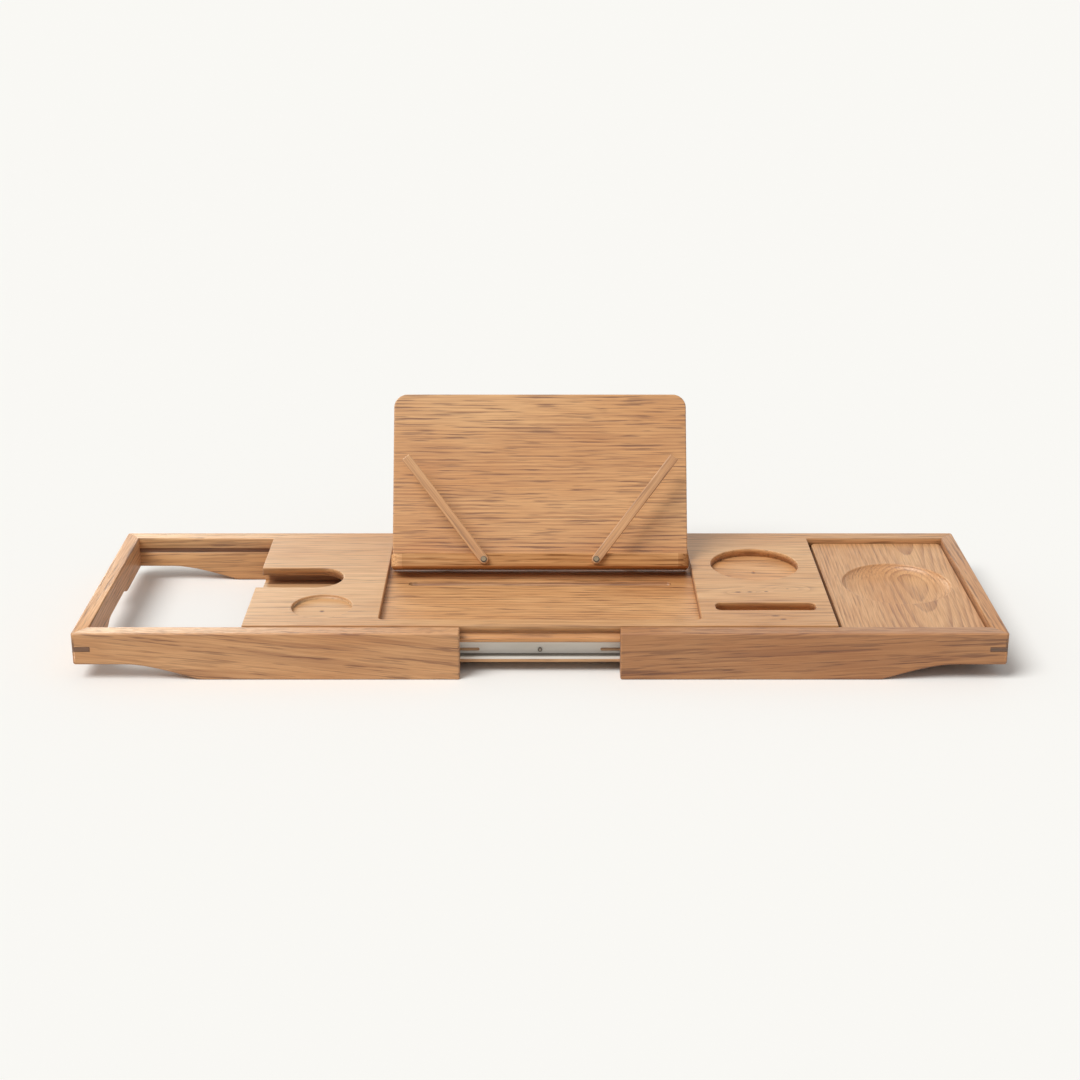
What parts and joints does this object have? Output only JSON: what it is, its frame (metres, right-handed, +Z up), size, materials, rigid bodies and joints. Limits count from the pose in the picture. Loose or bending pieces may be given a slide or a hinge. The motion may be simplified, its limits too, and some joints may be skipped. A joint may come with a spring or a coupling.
{
  "type": "bath caddy",
  "caption": "Extending wooden bath caddy with sliding end frames, recessed tray, lift-out soap plate and folding reading stand with page arms.",
  "frame": {"origin": "on the ground under the middle of the caddy, part open", "axes": "+X along the caddy to the soap plate's end, +Y away from the bather, +Z up"},
  "size_m": [0.87, 0.27, 0.2027],
  "materials": {
    "oak": "oiled, satin",
    "dark_wood": "oiled, satin",
    "steel": "zinc plated, satin",
    "brass": "aged"
  },
  "bodies": {
    "tray": {"tray_top_board": "oak", "tray_core_board": "oak", "glass_shelf": "oak", "shelf_screw_1": "brass", "shelf_screw_2": "brass", "shelf_screw_3": "brass", "shelf_screw_4": "brass", "back_apron": "oak", "front_apron": "oak", "back_channel": "steel", "front_channel": "steel", "back_channel_screw": "steel", "front_channel_screw": "steel", "left_floor_hinge": "dark_wood", "left_floor_hinge_pin": "steel", "right_floor_hinge": "dark_wood", "right_floor_hinge_pin": "steel"},
    "left_frame": {"left_back_rail": "oak", "left_front_rail": "oak", "left_end_bar": "oak", "left_back_key": "dark_wood", "left_front_key": "dark_wood", "left_back_runner": "steel", "left_front_runner": "steel", "left_back_runner_screw_1": "steel", "left_front_runner_screw_1": "steel", "left_back_runner_screw_2": "steel", "left_front_runner_screw_2": "steel"},
    "right_frame": {"right_back_rail": "oak", "right_front_rail": "oak", "right_end_bar": "oak", "right_back_key": "dark_wood", "right_front_key": "dark_wood", "right_back_runner": "steel", "right_front_runner": "steel", "right_back_runner_screw_1": "steel", "right_front_runner_screw_1": "steel", "right_back_runner_screw_2": "steel", "right_front_runner_screw_2": "steel", "back_plate_strip": "oak", "front_plate_strip": "oak"},
    "soap_plate": {"soap_plate": "oak"},
    "prop": {"left_prop_leg": "oak", "right_prop_leg": "oak", "prop_crossbar": "oak"},
    "stand": {"stand_panel": "oak", "stand_ledge": "oak", "ledge_screw_1": "brass", "ledge_screw_2": "brass", "ledge_screw_3": "brass", "left_panel_lug": "dark_wood", "left_panel_lug_pin": "steel", "right_panel_lug": "dark_wood", "right_panel_lug_pin": "steel", "left_arm_screw": "brass", "left_arm_washer": "steel", "right_arm_screw": "brass", "right_arm_washer": "steel"},
    "left_arm": {"left_page_arm": "oak"},
    "right_arm": {"right_page_arm": "oak"}
  },
  "joints": [
    {"name": "left_frame_slide", "type": "slide", "parent": "tray", "child": "left_frame", "axis": [-1, 0, 0], "range_m": [-0.139, 0.095]},
    {"name": "right_frame_slide", "type": "slide", "parent": "tray", "child": "right_frame", "axis": [1, 0, 0], "range_m": [-0.0035, 0.095]},
    {"name": "soap_plate_lift", "type": "slide", "parent": "right_frame", "child": "soap_plate", "axis": [0, 0, 1], "range_m": [0, 0.06]},
    {"name": "prop_fold", "type": "hinge", "parent": "tray", "child": "prop", "pos_m": [0, 0.0941, 0.0429], "axis": [1, 0, 0], "range_deg": [0, 89.58]},
    {"name": "stand_fold", "type": "hinge", "parent": "prop", "child": "stand", "pos_m": [0, 0.0935, 0.12689], "axis": [1, 0, 0], "range_deg": [-151.62, 0]},
    {"name": "left_arm_swing", "type": "hinge", "parent": "stand", "child": "left_arm", "pos_m": [-0.056, 0.01634, 0.0623], "axis": [0, -0.8829, 0.4695], "range_deg": [-56, 52]},
    {"name": "right_arm_swing", "type": "hinge", "parent": "stand", "child": "right_arm", "pos_m": [0.056, 0.01634, 0.0623], "axis": [0, -0.8829, 0.4695], "range_deg": [-52, 56]}
  ],
  "couplings": [
    {"joint": "stand_fold", "follows": "prop_fold", "ratio": -1.6921}
  ]
}
